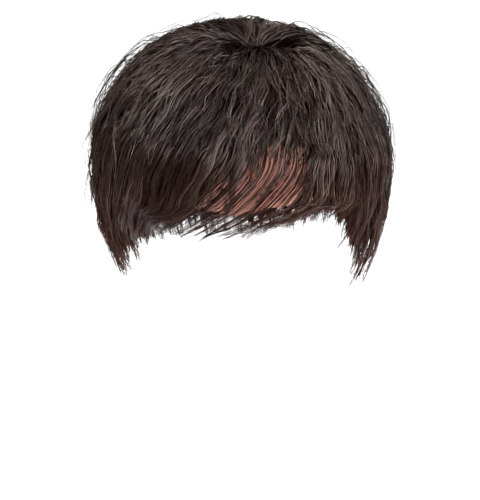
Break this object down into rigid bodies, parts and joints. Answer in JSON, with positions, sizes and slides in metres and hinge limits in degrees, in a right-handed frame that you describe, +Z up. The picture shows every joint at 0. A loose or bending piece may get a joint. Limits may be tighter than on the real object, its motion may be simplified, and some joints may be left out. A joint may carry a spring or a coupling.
{
  "type": "short hair wig",
  "caption": "Short layered wig of dark brown hair: a thin fitted cap open below for the head, with a crown of hair round a whorl, a side-swept fringe, two sides and a back.",
  "frame": {"origin": "inside top of the cap, where it sits on the head", "axes": "+Z up; the wearer faces -Y; +X is the wearer's left; hair hangs towards -Z"},
  "size_m": [0.1901, 0.2162, 0.1634],
  "materials": {
    "hair": "dark brown hair with a soft sheen",
    "cap_net": "matt skin-toned net"
  },
  "bodies": {
    "root": {"cap": "cap_net", "crown_hair": "hair", "fringe": "hair", "left_side_hair": "hair", "right_side_hair": "hair", "back_hair": "hair"}
  },
  "joints": []
}
